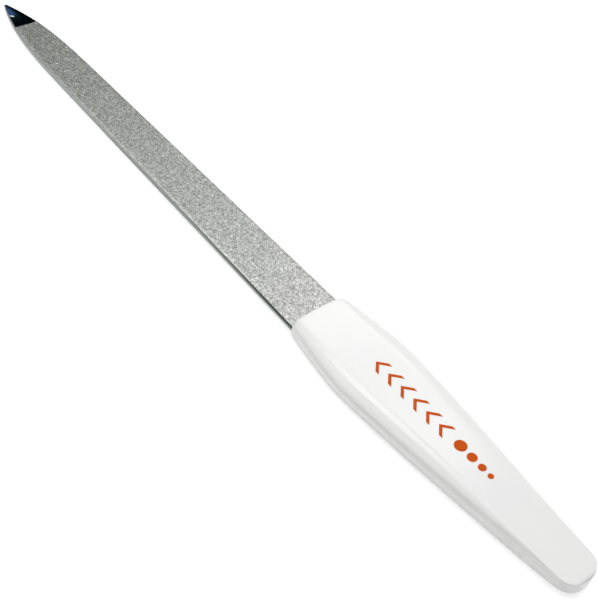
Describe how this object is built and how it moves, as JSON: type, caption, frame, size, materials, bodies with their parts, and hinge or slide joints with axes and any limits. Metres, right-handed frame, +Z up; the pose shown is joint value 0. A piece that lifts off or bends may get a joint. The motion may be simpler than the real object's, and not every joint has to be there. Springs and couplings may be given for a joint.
{
  "type": "sapphire nail file",
  "caption": "Slim pointed nail file: a steel blade with sapphire grit on both faces and a bare point, moulded into a flat, tapering white plastic handle",
  "frame": {"origin": "middle of the footprint, on the surface that the file lies on", "axes": "+X from the blade's point to the handle's butt, +Z up out of the handle's flat upper face, +Y to the side"},
  "size_m": [0.18, 0.0182, 0.0048],
  "materials": {
    "bare_steel": "polished",
    "bond_coat": "matt",
    "sapphire_grit": "sparkling grit",
    "white_plastic": "glossy"
  },
  "bodies": {
    "root": {"steel_blank": "bare_steel", "upper_bond_coat": "bond_coat", "lower_bond_coat": "bond_coat", "upper_sapphire_grit": "sapphire_grit", "lower_sapphire_grit": "sapphire_grit", "handle": "white_plastic"}
  },
  "joints": []
}
